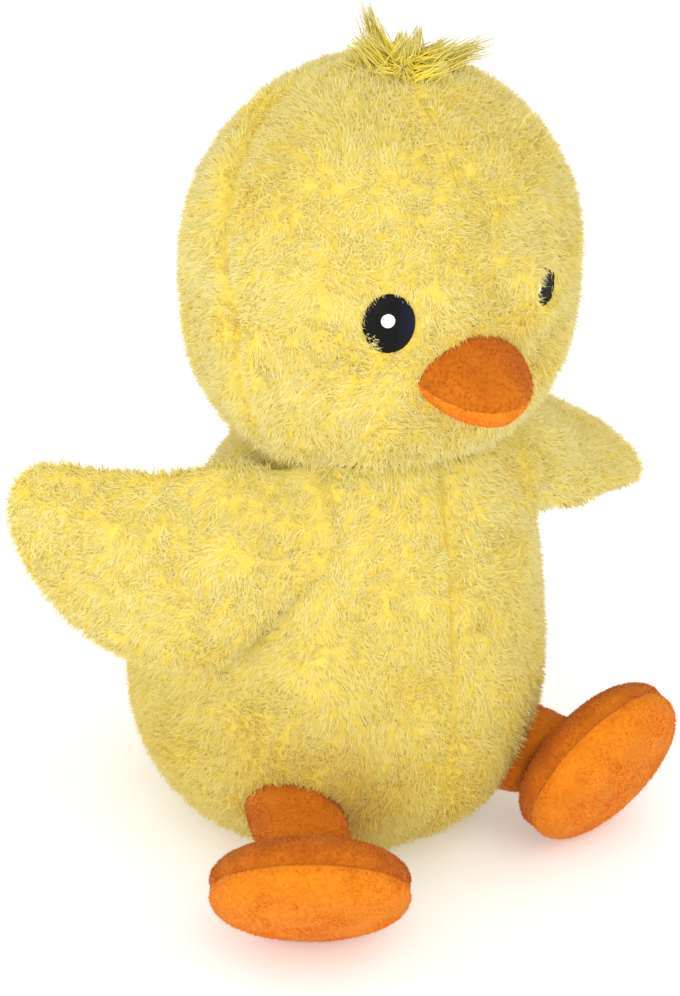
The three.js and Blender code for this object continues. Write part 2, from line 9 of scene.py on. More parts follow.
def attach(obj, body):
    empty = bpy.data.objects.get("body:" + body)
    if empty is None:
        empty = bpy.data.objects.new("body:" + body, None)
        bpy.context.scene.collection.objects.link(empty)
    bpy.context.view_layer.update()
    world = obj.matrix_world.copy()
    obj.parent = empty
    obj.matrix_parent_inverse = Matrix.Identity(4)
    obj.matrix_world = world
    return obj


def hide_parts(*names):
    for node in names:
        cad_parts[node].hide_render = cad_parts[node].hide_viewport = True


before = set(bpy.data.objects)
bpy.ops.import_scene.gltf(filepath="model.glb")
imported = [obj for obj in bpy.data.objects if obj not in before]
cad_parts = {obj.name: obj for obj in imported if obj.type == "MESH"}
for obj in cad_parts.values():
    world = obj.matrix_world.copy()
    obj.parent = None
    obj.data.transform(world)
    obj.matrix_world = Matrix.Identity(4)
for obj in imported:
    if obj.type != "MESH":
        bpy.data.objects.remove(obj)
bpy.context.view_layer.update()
sides = {"left": 1, "right": -1}
mm = 0.001  # points are in millimetres until a mesh is made
floorGap = 0.2  # how far everything stays clear of the floor
print("frame loaded")


# numbers
def unit(v):
    return v / np.maximum(np.linalg.norm(v, axis=-1, keepdims=True), 1e-9)


def ease(x, low, high):
    t = np.clip((x - low) / (high - low), 0, 1)
    return t * t * (3 - 2 * t)


def waves(points, size, seed, count=20):  # smooth unevenness, about one high
    maker = np.random.default_rng(seed)
    pitch = size * maker.uniform(0.6, 1.6, (count, 1))
    ways = unit(maker.normal(size=(count, 3))) * 2 * np.pi / pitch
    start = maker.uniform(0, 2 * np.pi, count)
    return np.sin(points @ ways.T + start).sum(1) * math.sqrt(2 / count)


def swirl(points, size, seed):  # unevenness in each of the three ways
    return np.stack([waves(points, size, seed + k) for k in range(3)], 1)


def signedPower(x, power):
    return np.sign(x) * np.abs(x) ** power


def turned(v, axis, angle):  # rows of v about a unit axis, each by its own angle
    c, s = np.cos(angle)[:, None], np.sin(angle)[:, None]
    a = np.broadcast_to(axis, v.shape)
    return v * c + np.cross(a, v) * s + a * (a * v).sum(1, keepdims=True) * (1 - c)


# cloth: a skin is points with triangles that face out
def sewGrid(grid, middle, wrap=False):
    rows, columns = grid.shape[:2]
    index = np.arange(rows * columns).reshape(rows, columns)
    if wrap:
        index = np.column_stack([index, index[:, :1]])
    a, b, c, d = index[:-1, :-1], index[:-1, 1:], index[1:, 1:], index[1:, :-1]
    tris = np.concatenate([np.stack(t, -1).reshape(-1, 3) for t in ((a, b, c), (a, c, d))])
    points = grid.reshape(-1, 3)
    first, same = np.unique(np.round(points, 4), axis=0, return_index=True, return_inverse=True)[1:]
    points, tris = points[first], same.reshape(-1)[tris]
    good = (tris[:, 0] != tris[:, 1]) & (tris[:, 1] != tris[:, 2]) & (tris[:, 0] != tris[:, 2])
    tris = tris[good]
    p = points[tris]
    out = (np.cross(p[:, 1] - p[:, 0], p[:, 2] - p[:, 0]) * (p.mean(1) - middle)).sum()
    return points, tris if out > 0 else tris[:, ::-1]


def normalsOf(points, tris):
    p = points[tris]
    n = np.cross(p[:, 1] - p[:, 0], p[:, 2] - p[:, 0])
    total = np.zeros_like(points)
    for k in range(3):
        np.add.at(total, tris[:, k], n)
    return unit(total)


def edgesOf(tris):  # edges with one face, in the order of that face
    pairs = np.concatenate([tris[:, [0, 1]], tris[:, [1, 2]], tris[:, [2, 0]]])
    key = np.sort(pairs, 1) @ np.array([10 ** 7, 1])
    back, count = np.unique(key, return_inverse=True, return_counts=True)[1:]
    return pairs[count[back.reshape(-1)] == 1]


# the cloth is solved at ten times real size
clothSetup = dict(perMm=0.01, steps=12, quality=4, stretch=20, squeeze=8, bend=0.3)


def puff(skin, force, cap):  # stuffing pushes a panel out between its sewn edges
    points, tris = skin
    scene, c = bpy.context.scene, clothSetup
    mesh = bpy.data.meshes.new("puffing")
    mesh.from_pydata((points * c["perMm"]).tolist(), [], tris.tolist())
    panel = bpy.data.objects.new("puffing", mesh)
    scene.collection.objects.link(panel)
    held = panel.vertex_groups.new(name="sewn")
    held.add(np.unique(edgesOf(tris)).tolist(), 1, "REPLACE")
    cloth = panel.modifiers.new("cloth", "CLOTH")
    cloth.settings.quality = c["quality"]
    cloth.settings.tension_stiffness = c["stretch"]
    cloth.settings.compression_stiffness = c["squeeze"]
    cloth.settings.bending_stiffness = c["bend"]
    cloth.settings.use_pressure = True
    cloth.settings.uniform_pressure_force = force
    cloth.settings.vertex_group_mass = "sewn"
    cloth.settings.effector_weights.gravity = 0
    cloth.collision_settings.use_collision = False
    cloth.point_cache.frame_start, cloth.point_cache.frame_end = 1, c["steps"]
    for step in range(1, c["steps"] + 1):
        scene.frame_set(step)
    shaped = panel.evaluated_get(bpy.context.evaluated_depsgraph_get()).to_mesh()
    place = np.empty(len(points) * 3, np.float32)
    shaped.vertices.foreach_get("co", place)
    move = place.reshape(-1, 3).astype(float) / c["perMm"] - points
    far = np.linalg.norm(move, axis=1, keepdims=True)
    bpy.data.objects.remove(panel)
    bpy.data.meshes.remove(mesh)
    scene.frame_set(1)
    return points + move * np.minimum(1, cap / np.maximum(far, 1e-6)), tris


def backed(skin, thick):  # the panel with its underside and its cut edges
    points, tris = skin
    count = len(points)
    under = points - normalsOf(points, tris) * thick
    under[:, 2] = np.maximum(under[:, 2], floorGap)
    rim = edgesOf(tris)
    a, b = rim[:, 0], rim[:, 1]
    edge = np.concatenate([np.stack([b, a, a + count], 1), np.stack([b, a + count, b + count], 1)])
    return np.concatenate([points, under]), np.concatenate([tris, tris[:, ::-1] + count, edge])


# pile: blades that grow from a skin, gathered in small clumps
def scatter(skin, perMm2, maker):
    points, tris = skin
    p = points[tris]
    area = 0.5 * np.linalg.norm(np.cross(p[:, 1] - p[:, 0], p[:, 2] - p[:, 0]), axis=1)
    count = max(1, int(area.sum() * perMm2))
    ladder = np.cumsum(area) / area.sum()
    rung = (np.arange(count) + maker.random(count)) / count
    pick = np.minimum(np.searchsorted(ladder, rung), len(tris) - 1)
    r = np.sqrt(maker.random(count))[:, None]
    s = maker.random(count)[:, None]
    share = np.hstack([1 - r, r * (1 - s), r * s])
    n = normalsOf(points, tris)[tris[pick]]
    return (p[pick] * share[:, :, None]).sum(1), unit((n * share[:, :, None]).sum(1))


def nearest(points, places):
    tree = KDTree(len(places))
    for i, place in enumerate(places):
        tree.insert(place, i)
    tree.balance()
    return np.fromiter((tree.find(p)[1] for p in points), int, len(points))


bladeForm = dict(sunk=0.35, roll=0.3, lengths=(0.75, 1.25), widths=(0.6, 1.3), clumpReach=0.85,
                 shadeLean=0.12, corners=np.radians([90, 210, 330]))  # the flat of each blade faces out
bladeTone = dict(clumpEdge=2.5, patches=0.06, patchSize=26, blades=0.05, short=0.5, paintedLowShadeFrom=(15, 95))
bladeMap = dict(tones=(0.03, 0.97), apart=(-0.012, 0.004, 0.012, 0.0), up=(0.04, 0.06, 0.05, 0.97),
                edge=(0.005, 0.995))


def growPile(skin, pile, flow, share, seed):
    b, t, m = bladeForm, bladeTone, bladeMap
    maker = np.random.default_rng(seed)
    roots, n = scatter(skin, pile["perMm2"], maker)
    high = share(roots)
    keep = maker.random(len(roots)) < high * 3  # where the pile is shortest it is also sparse
    roots, n, high = roots[keep], n[keep], high[keep]
    centres, cn = scatter(skin, pile["clumpsPerMm2"], maker)

    def lying(points, normals, spread):
        way = flow(points, normals) + spread * maker.normal(size=points.shape)
        way = unit(way - normals * (way * normals).sum(1, keepdims=True))
        lean = np.radians(pile["lean"] + pile["leanSpread"] * maker.normal(size=len(points)))[:, None]
        return unit(normals * np.cos(lean) + way * np.sin(lean))

    own = nearest(roots, centres)
    clumpTip = centres + lying(centres, cn, pile["curl"]) * pile["length"] * b["clumpReach"]
    length = pile["length"] * high * maker.uniform(*b["lengths"], len(roots))
    tip = roots + lying(roots, n, pile["loose"]) * length[:, None]
    pull = (pile["clumping"] * np.minimum(high, 1))[:, None]
    way = unit(tip * (1 - pull) + clumpTip[own] * pull - roots)
    tip = roots + way * length[:, None]
    side = unit(np.cross(way, n + b["roll"] * maker.normal(size=n.shape)))
    under = np.cross(way, side)
    half = 0.5 * pile["width"] * maker.uniform(*b["widths"], len(roots)) * np.sqrt(np.minimum(high, 1))
    half = half[:, None]
    root = roots - n * b["sunk"]
    corners = [root + half * (math.cos(a) * side + math.sin(a) * under) for a in b["corners"]] + [tip]
    off = (roots - centres[own]) * math.sqrt(pile["clumpsPerMm2"])
    # painted shade: blades rooted between clumps take a deeper tone, those near a clump's middle a paler one
    tone = pile["tone"] + pile["clumpGapShade"] * (0.5 - np.minimum((off ** 2).sum(1) * t["clumpEdge"], 1))
    tone = tone + t["patches"] * waves(roots, t["patchSize"], seed + 1)
    # painted shade: the tone deepens where the pile is short, in the nape crease, round the eyes and bill and
    # near the seat; along the seams it makes a dark seam line
    tone = tone + t["blades"] * maker.normal(size=len(roots)) - t["short"] * (1 - np.minimum(high, 1))
    tone = tone - pile["paintedLowShade"] * (1 - ease(roots[:, 2], *t["paintedLowShadeFrom"]))  # painted shade: a deeper, warmer yellow lower down, where the body is in shade
    soft = unit(n + pile["dome"] * off + way * b["shadeLean"])
    points = np.stack(corners, 1).reshape(-1, 3)
    points[:, 2] = np.maximum(points[:, 2], floorGap)
    u = np.clip(np.clip(tone, *m["tones"])[:, None] + np.array(m["apart"]), *m["edge"])
    uv = np.stack([u, np.broadcast_to(m["up"], u.shape)], -1).reshape(-1, 2)
    tris = np.array([[0, 1, 3], [1, 2, 3], [2, 0, 3]])
    tris = (np.arange(len(roots))[:, None, None] * 4 + tris).reshape(-1, 3)
    p = points[tris]
    shading = unit(np.cross(p[:, 1] - p[:, 0], p[:, 2] - p[:, 0]))
    shading[1::3] = soft  # the outer flat shades as the cloth does
    return points, tris, np.repeat(shading, 3, 0), uv


def evenShare(points):  # the same height all over
    return np.ones(len(points))


groundForm = dict(patches=0.08, patchSize=9, short=0.4, weave=0.03, weaveSize=5)


def ground(skin, pile, seed, share=evenShare):  # the woven backing between the blades
    points, tris = skin
    high = np.minimum(share(points), 1)
    g = groundForm
    # the backing also deepens where the pile is short: painted shade in the crease, round the eyes and bill
    # and near the seat, and a dark line along the seams
    u = pile["groundTone"] + g["patches"] * waves(points, g["patchSize"], seed) - g["short"] * (1 - high)
    # the backing takes a colour near the root end of the ramp: painted shade between the blades
    v = pile["base"] + g["weave"] * waves(points, g["weaveSize"], seed + 1)
    u, v = np.clip(u, 0.02, 0.98), np.clip(v, 0.005, 0.9)
    return points, tris, normalsOf(points, tris)[tris.ravel()], np.stack([u, v], 1)


def makePiece(name, parts, material, body, nodes):
    start = np.cumsum([0] + [len(p[0]) for p in parts])
    points = np.concatenate([p[0] for p in parts]) * mm
    tris = np.concatenate([p[1] + s for p, s in zip(parts, start)])
    normals = np.concatenate([p[2] for p in parts])
    uv = np.concatenate([p[3] for p in parts])
    mesh = bpy.data.meshes.new(name)
    mesh.vertices.add(len(points))
    mesh.vertices.foreach_set("co", points.astype(np.float32).ravel())
    mesh.loops.add(tris.size)
    mesh.loops.foreach_set("vertex_index", tris.astype(np.int32).ravel())
    mesh.polygons.add(len(tris))
    mesh.polygons.foreach_set("loop_start", np.arange(0, tris.size, 3, dtype=np.int32))
    mesh.uv_layers.new(name="OFBake").data.foreach_set("uv", uv[tris.ravel()].astype(np.float32).ravel())
    mesh.polygons.foreach_set("use_smooth", np.ones(len(tris), bool))
    mesh.update(calc_edges=True)
    mesh.normals_split_custom_set(normals.astype(np.float32))
    mesh.materials.append(material)
    piece = bpy.data.objects.new(name, mesh)
    bpy.context.scene.collection.objects.link(piece)
    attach(piece, body)
    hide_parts(*nodes)
    print(name, len(tris), "faces")


# finishes: across the map runs the tone of a tuft, and up it runs root to tip; the darker root end is painted
# shade deep in the pile
def srgb(*rgb):
    c = np.array(rgb) / 255
    return (*np.where(c <= 0.04045, c / 12.92, ((c + 0.055) / 1.055) ** 2.4), 1.0)


def finishOn(name):  # a shader, and the piece's own map split into across and up
    material = bpy.data.materials.new(name)
    material.use_nodes = True
    nodes, links = material.node_tree.nodes, material.node_tree.links
    place = nodes.new("ShaderNodeUVMap")
    place.uv_map = "OFBake"
    split = nodes.new("ShaderNodeSeparateXYZ")
    links.new(place.outputs["UV"], split.inputs["Vector"])
    return material, nodes["Principled BSDF"], split


def colourAlong(material, source, look):
    ramp = material.node_tree.nodes.new("ShaderNodeValToRGB")
    stops = ramp.color_ramp.elements
    while len(stops) < len(look):
        stops.new(0.5)
    for stop, (at, colour) in zip(stops, look):
        stop.position, stop.color = at, srgb(*colour)
    material.node_tree.links.new(source, ramp.inputs["Fac"])
    return ramp.outputs["Color"]


def pileFinish(name, look):
    material, shader, split = finishOn(name)
    mix = material.node_tree.nodes.new("ShaderNodeMix")
    mix.data_type = "RGBA"
    links = material.node_tree.links
    links.new(split.outputs["X"], mix.inputs["Factor"])
    for socket, tone in ((6, "deep"), (7, "pale")):  # the two colours of the mix
        links.new(colourAlong(material, split.outputs["Y"], look[tone]), mix.inputs[socket])
    links.new(mix.outputs[2], shader.inputs["Base Color"])
    shader.inputs["Roughness"].default_value = look["rough"]
    shader.inputs["Specular IOR Level"].default_value = look["gloss"]
    shader.inputs["Sheen Weight"].default_value = look["sheen"]
    shader.inputs["Sheen Roughness"].default_value = 0.6
    return material


yellowPile = pileFinish("yellow_pile", dict(
    deep=[(0, (228, 196, 52)), (0.45, (234, 208, 78)), (1, (240, 218, 108))],
    pale=[(0, (247, 229, 96)), (0.45, (251, 239, 146)), (1, (254, 247, 204))],
    rough=0.9, gloss=0.15, sheen=0.1))
goldenHair = pileFinish("golden_hair", dict(
    deep=[(0, (250, 212, 40)), (0.5, (253, 222, 66)), (1, (255, 234, 110))],
    pale=[(0, (255, 226, 58)), (0.5, (255, 236, 92)), (1, (255, 246, 156))],
    rough=0.8, gloss=0.15, sheen=0.2))
orangeNap = pileFinish("orange_nap", dict(
    deep=[(0, (172, 84, 3)), (0.5, (186, 94, 4)), (1, (196, 102, 8))],
    pale=[(0, (232, 126, 10)), (0.5, (240, 142, 18)), (1, (246, 156, 30))],
    rough=0.85, gloss=0.2, sheen=0.05))
print("finishes made")

# the pile of each kind of cloth
longPile = dict(perMm2=3.8, length=2.4, width=0.5, lean=60, leanSpread=13, clumpsPerMm2=0.14, clumping=0.4,
                curl=1.3, loose=1.0, tone=0.7, clumpGapShade=0.24, dome=0.25, base=0.25, groundTone=0.4, paintedLowShade=0.35)
fineHair = dict(longPile, perMm2=0.8, length=2.7, width=0.18, lean=46, leanSpread=16, clumping=0.25)
shortNap = dict(perMm2=6.0, length=0.85, width=0.36, lean=66, leanSpread=8, clumpsPerMm2=1.2, clumping=0.3,
                curl=0.6, loose=0.6, clumpGapShade=0.1, dome=0.15, base=0.5, paintedLowShade=0.0)


# head
headForm = dict(y=-23, z=146, half=43.5, front=37, back=38.5, height=43, crown=1.0, jowl=0.68,
                dip=1.4, reach=0.2, swell=0.1, push=1.5, give=0.4)
headMiddle = np.array([0, headForm["y"], headForm["z"]])
napeForm = dict(ahead=9, lean=math.radians(25), fuller=0.4, fullBy=8, crease=2.5, reach=2.6,
                underTuft=(160, 178), tuftSide=(8, 24), overNeck=(111, 122))
neckPlace = dict(y=-23, z=108, slope=math.tan(math.radians(2.5)), gap=0.2)
eyePlace = dict(x=18.4, z=146.4, half=5.4, height=6.8)
billForm = dict(z=132.5, rootY=-56.5, half=12.2, height=8.8, reach=17.5, corner=1.22,
                droop=math.tan(math.radians(10)), swell=0.3, push=1.0, give=0.6, thick=1.2)
tuftForm = dict(x=3, y=-25)


def headAt(turn, rise, swell):
    h = headForm
    power = np.where(rise < 0, h["jowl"], h["crown"])
    out = np.abs(np.cos(rise)) ** power
    up = signedPower(np.sin(rise), power)
    dip = h["dip"] * np.exp(-((np.cos(turn) / h["reach"]) ** 2))
    depth = np.where(np.cos(turn) > 0, h["front"], h["back"]) + swell
    return np.stack([(h["half"] + swell - dip) * out * np.sin(turn), h["y"] - depth * out * np.cos(turn),
                     h["z"] + (h["height"] + swell) * up], -1)


def fromNeck(points):
    return np.hypot(points[..., 0], points[..., 1] - neckPlace["y"])


def headPanel(turnStart, turnEnd, columns=40, rows=64):
    swell = headForm["swell"]
    turn = np.linspace(turnStart, turnEnd, columns)
    low, high = np.full(columns, -1.55), np.zeros(columns)
    for step in range(24):  # where the cheek meets the notch round the neck
        middle = (low + high) / 2
        p = headAt(turn, middle, swell)
        inside = p[:, 2] < neckPlace["z"] + neckPlace["gap"] + fromNeck(p) * neckPlace["slope"]
        low, high = np.where(inside, middle, low), np.where(inside, high, middle)
    share = np.linspace(0, 1, rows)[:, None]
    rise = high * (1 - share) + np.pi / 2 * share
    return sewGrid(headAt(np.broadcast_to(turn, rise.shape), rise, swell), headMiddle)


def fromCrease(points):  # above zero on the nape side of the ear-to-ear crease
    back, up = points[:, 1] - headForm["y"] + napeForm["ahead"], points[:, 2] - headForm["z"]
    return np.minimum(back, back * math.cos(napeForm["lean"]) - up * math.sin(napeForm["lean"]))


# the left eye lies deeper in the pile, which stands up on its inner side
sunkEye = dict(x=18.7, z=146.7, half=4.0, height=4.1, lift=1.2, edge=(0.92, 1.15), fade=(1.7, 2.6))
browForm = dict(x=12.6, z=147.0, half=2.6, height=7.5, lift=2.4)
openEye = dict(x=-18.2, z=146.4, half=5.2, height=6.6)


def fromEye(points, eye):
    across, up = (points[:, 0] - eye["x"]) / eye["half"], (points[:, 2] - eye["z"]) / eye["height"]
    return np.hypot(across, up), np.arctan2(up, across)


def creased(skin):
    points, tris = skin
    c, s = napeForm, fromCrease(points)
    byTuft = ease(points[:, 2], *c["underTuft"]) * (1 - ease(np.abs(points[:, 0]), *c["tuftSide"]))
    shown = (1 - byTuft) * ease(points[:, 2], *c["overNeck"])  # no dent under the tuft or at the neck
    move = c["fuller"] * ease(s, 0, c["fullBy"]) - c["crease"] * shown * np.exp(-(s / c["reach"]) ** 2)
    bySunk, byBrow = fromEye(points, sunkEye)[0], fromEye(points, browForm)[0]
    lift = sunkEye["lift"] * (ease(bySunk, *sunkEye["edge"]) - ease(bySunk, *sunkEye["fade"]))
    lift = lift + browForm["lift"] * np.exp(-byBrow ** 2)
    move = move + np.where(points[:, 1] < headForm["y"], lift, 0)
    return points + unit(points - headMiddle) * move[:, None], tris


headFur = dict(way=np.array([0, 0.45, -0.8]), swirl=0.7, swirlSize=17, crease=0.65, creaseReach=2.2, seam=0.2,
               seamReach=1.0, rim=0.5, overRim=5, fade=4, tuft=0.3, tuftFade=(4, 8), bill=0.82, billFade=1.5,
               eye=0.97, eyeFade=1.4, corner=-2.5, cornerReach=0.3)


def headFlow(points, normals):  # brushed down and back from the face
    return headFur["way"] + headFur["swirl"] * swirl(points, headFur["swirlSize"], 40)


def headShare(points):
    x, y, z = points.T
    h = headFur
    creaseShown = ease(z, *napeForm["overNeck"]) * np.exp(-(fromCrease(points) / h["creaseReach"]) ** 2)
    share = 1 - h["crease"] * creaseShown
    share = share * (1 - h["seam"] * np.exp(-(x / h["seamReach"]) ** 2))
    bySunk, (byOpen, turn) = fromEye(points, sunkEye)[0], fromEye(points, openEye)
    cornerHairs = np.exp(-((turn - h["corner"]) / h["cornerReach"]) ** 2)  # over the eye's lower corner
    byOpen = byOpen * (1 + 0.5 * cornerHairs)
    byBill = np.hypot(x / billForm["half"], (z - billForm["z"]) / billForm["height"])
    eyeClear = np.where(byOpen < h["eye"], 0, 0.5 + 0.5 * ease(byOpen, h["eye"], h["eyeFade"]))
    eyeClear = np.where(bySunk < 1, 0, eyeClear)
    billClear = np.where(byBill < h["bill"], 0, 0.7 + 0.3 * ease(byBill, h["bill"], h["billFade"]))
    rim = neckPlace["z"] + fromNeck(points) * neckPlace["slope"]
    share = share * (1 + h["rim"] * ease(rim + h["overRim"] - z, 0, h["fade"]))  # longer round the neck
    share = np.where(y < headForm["y"], share * np.minimum(eyeClear, billClear), share)
    byTuft = np.hypot(x - tuftForm["x"], y - tuftForm["y"])
    underTuft = 1 - h["tuft"] + h["tuft"] * ease(byTuft, *h["tuftFade"])
    return np.where(z > headForm["z"], share * underTuft, share)


def furParts(skin, flow, share, seed, dense=1.0):
    parts = [ground(backed(skin, 1.6), longPile, seed, share)]
    for number, pile in enumerate((longPile, fineHair)):
        grown = dict(pile, perMm2=dense * pile["perMm2"])
        parts.append(growPile(skin, grown, flow, share, seed + 1 + number))
    return parts


def rimOf(skins, sense):  # the edge of the panels round the neck, as reach by turn
    points = np.concatenate([points[np.unique(edgesOf(tris))] for points, tris in skins])
    reach = fromNeck(points)
    at = np.abs(points[:, 2] - neckPlace["z"] - sense * reach * neckPlace["slope"]) < 1.2
    turn = np.arctan2(points[at, 0], neckPlace["y"] - points[at, 1])
    order = np.argsort(turn)

    def reachAt(angle):
        return np.interp(angle, turn[order], reach[at][order], period=2 * np.pi)

    return reachAt


headSkins, bodySkins = [], []
headQuarters = {"face_left": (0, 90), "back_left": (90, 180),
                "face_right": (0, -90), "back_right": (-90, -180)}
for number, (name, turns) in enumerate(headQuarters.items()):
    skin = creased(puff(headPanel(*np.radians(turns)), headForm["push"], headForm["give"]))
    headSkins.append(skin)
    nodes = ["head_" + name] + (["head_stuffing"] if number == 0 else [])
    parts = furParts(skin, headFlow, headShare, 100 + 10 * number)
    makePiece("head_" + name + "_fur", parts, yellowPile, "head", nodes)
print("head covered")

# body
bodyForm = dict(height=113, half=45.5, front=54.5, back=50.5, dip=0.9, reach=0.16,
                swell=0.3, push=1.5, give=0.4, lowest=0.5, dense=0.85)
bodyShares = np.array([  # height, half width, front and back at each station, as shares of the sizes above
    (0, 0.615, 0.5505, 0.5941), (0.044, 0.802, 0.706, 0.832),
    (0.177, 0.967, 0.908, 1), (0.354, 1, 0.991, 0.98),
    (0.549, 0.923, 1, 0.792), (0.726, 0.813, 0.963, 0.475),
    (0.876, 0.692, 0.899, 0.198), (1, 0.604, 0.826, 0.04)])
bodySizes = bodyShares * [bodyForm["height"], bodyForm["half"], bodyForm["front"], bodyForm["back"]]


def bodyCurve(share):  # a smooth line through the stations
    last = len(bodySizes) - 1
    place = np.clip(share, 0, 1) * last
    i = np.minimum(place.astype(int), last - 1)
    t = (place - i)[..., None]
    p0, p1 = bodySizes[np.maximum(i - 1, 0)], bodySizes[i]
    p2, p3 = bodySizes[i + 1], bodySizes[np.minimum(i + 2, last)]
    v0, v1 = (p2 - p0) / 2, (p3 - p1) / 2
    return (2 * p1 - 2 * p2 + v0 + v1) * t ** 3 + (-3 * p1 + 3 * p2 - 2 * v0 - v1) * t ** 2 + v0 * t + p1


def bodyAt(turn, share, swell=0.0):
    size = bodyCurve(share)
    height, half, front, back = size[..., 0], size[..., 1] + swell, size[..., 2] + swell, size[..., 3] + swell
    dip = bodyForm["dip"] * np.exp(-((np.sin(turn) / bodyForm["reach"]) ** 2))
    depth = (front + back) / 2 - dip
    return np.stack([half * np.sin(turn), (back - front) / 2 - depth * np.cos(turn), height], -1)


shareLine = np.linspace(0, 1, 2001)
heightLine = bodyCurve(shareLine)[:, 0]


def bodyShareAt(height):
    return np.interp(height, heightLine, shareLine)


def bodyReach(points):  # under one inside the body, over one outside
    size = bodyCurve(bodyShareAt(points[..., 2]))
    half, front, back = size[..., 1], size[..., 2], size[..., 3]
    return np.hypot(points[..., 0] / half, (points[..., 1] - (back - front) / 2) / ((front + back) / 2))


def bodyPanel(side, columns=70, rows=48):
    swell = bodyForm["swell"]
    turn = side * np.linspace(0, np.pi, columns)
    low, high = np.full(columns, 0.7), np.ones(columns)
    for step in range(24):  # where the panel meets the notch round the neck
        middle = (low + high) / 2
        p = bodyAt(turn, middle, swell)
        inside = p[:, 2] > neckPlace["z"] - neckPlace["gap"] - fromNeck(p) * neckPlace["slope"]
        low, high = np.where(inside, low, middle), np.where(inside, middle, high)
    share = np.linspace(0, 1, rows)[:, None] ** 1.15 * low  # rows lie closer near the seat
    grid = bodyAt(np.broadcast_to(turn, share.shape), share, swell)
    grid[..., 2] = np.maximum(grid[..., 2], bodyForm["lowest"])
    return sewGrid(grid, np.array([0, -3, 50]))


bodyFur = dict(way=np.array([0, 0.1, -0.9]), swirl=0.65, swirlSize=19, seam=0.5, seamReach=1.3,
               rim=0.4, overRim=4, fade=3, seat=0.7, seatFade=(0.3, 7))


def bodyFlow(points, normals):
    return bodyFur["way"] + bodyFur["swirl"] * swirl(points, bodyFur["swirlSize"], 60)


def bodyFurShare(points):
    x, y, z = points.T
    b = bodyFur
    share = 1 - b["seam"] * np.exp(-(x / b["seamReach"]) ** 2)
    rim = neckPlace["z"] - fromNeck(points) * neckPlace["slope"]
    share = share * (1 + b["rim"] * ease(z - rim + b["overRim"], 0, b["fade"]))  # longer round the neck
    return share * (1 - b["seat"] + b["seat"] * ease(z, *b["seatFade"]))


for number, (name, side) in enumerate(sides.items()):
    skin = puff(bodyPanel(side), bodyForm["push"], bodyForm["give"])
    bodySkins.append(skin)
    nodes = ["body_" + name + "_panel"] + (["body_stuffing"] if number == 0 else [])
    parts = furParts(skin, bodyFlow, bodyFurShare, 200 + 10 * number, bodyForm["dense"])
    makePiece("body_" + name + "_fur", parts, yellowPile, "body", nodes)

# seat and neck
seatForm = dict(half=27.4, depth=29.4, rise=0.9, crown=0.5, thick=1.0)
seatNap = dict(shortNap, perMm2=5.0, length=0.9, width=0.4, lean=70, tone=0.6)


def seatFlow(points, normals):  # brushed to the back
    return np.array([0, 1.0, 0]) + 0 * points


ring = np.linspace(0, 2 * np.pi, 72, endpoint=False)
out = np.linspace(0.02, 1, 16)[:, None]
seatGrid = np.stack([seatForm["half"] * out * np.sin(ring), -seatForm["depth"] * out * np.cos(ring),
                     seatForm["rise"] + seatForm["crown"] * (1 - out ** 2) + 0 * ring], -1)
seatSkin = sewGrid(seatGrid, np.array([0, 0, 30]), wrap=True)
seatParts = [ground(backed(seatSkin, -seatForm["thick"]), longPile, 240),
             growPile(seatSkin, seatNap, seatFlow, evenShare, 241)]
makePiece("body_seat_fur", seatParts, yellowPile, "body", ["body_seat_panel"])

ruffForm = dict(inner=16.0, inside=0.8, height=5.0, headTurn=math.radians(25), shown=(4, 1.5))
ruffPile = dict(longPile, perMm2=5.0, length=3.5, lean=22, leanSpread=16)
roll = np.linspace(0, 2 * np.pi, 18, endpoint=False)[:, None]
headRim, bodyRim = rimOf(headSkins, 1), rimOf(bodySkins, -1)
turns = np.linspace(-1, 1, 11)[:, None] * ruffForm["headTurn"]  # stays inside as the head turns
ruffEdge = np.minimum(headRim(ring), bodyRim(ring + turns).min(0)) - ruffForm["inside"]
ruffReach = (ruffForm["inner"] + ruffEdge) / 2 + (ruffEdge - ruffForm["inner"]) / 2 * np.cos(roll)
ruffGrid = np.stack([ruffReach * np.sin(ring), neckPlace["y"] - ruffReach * np.cos(ring),
                     neckPlace["z"] + ruffForm["height"] / 2 * np.sin(roll) + 0 * ring], -1)
ruffGrid = np.concatenate([ruffGrid, ruffGrid[:1]])
ruffSkin = sewGrid(ruffGrid, np.array([0, neckPlace["y"], neckPlace["z"]]), wrap=True)


def ruffFlow(points, normals):
    return 0.2 * points + np.array([0, 0, -0.3])


def ruffShare(points):  # only the outer edge shows
    turn = np.arctan2(points[:, 0], neckPlace["y"] - points[:, 1])
    edge = np.interp(turn, ring, ruffEdge, period=2 * np.pi)
    return 0.1 + 0.9 * ease(fromNeck(points), edge - ruffForm["shown"][0], edge - ruffForm["shown"][1])


ruffParts = [ground(ruffSkin, longPile, 260), growPile(ruffSkin, ruffPile, ruffFlow, ruffShare, 261)]
makePiece("neck_ruff", ruffParts, yellowPile, "neck", ["neck_stuffing"])
print("body and neck covered")


# bill
# painted light and shade: both panels are one orange cloth; the upper is given a deeper tone for painted
# shade, the lower a paler one for painted light
billShadeTones = {"upper": 0.3, "lower": 0.95}


def billAt(around, reach):
    b, swell = billForm, billForm["swell"]
    taper = np.sqrt(np.maximum(0, 1 - reach ** 2))
    forward = (b["reach"] + swell) * reach + 0 * around
    across = (b["half"] + swell) * taper * signedPower(np.cos(around), b["corner"])
    up = (b["height"] + swell) * taper * signedPower(np.sin(around), b["corner"])
    return np.stack([across, b["rootY"] - forward, b["z"] + up - forward * b["droop"]], -1)


def billFlow(points, normals):
    return np.array([0, -0.6, -0.3]) + 0.5 * swirl(points, 7, 80)


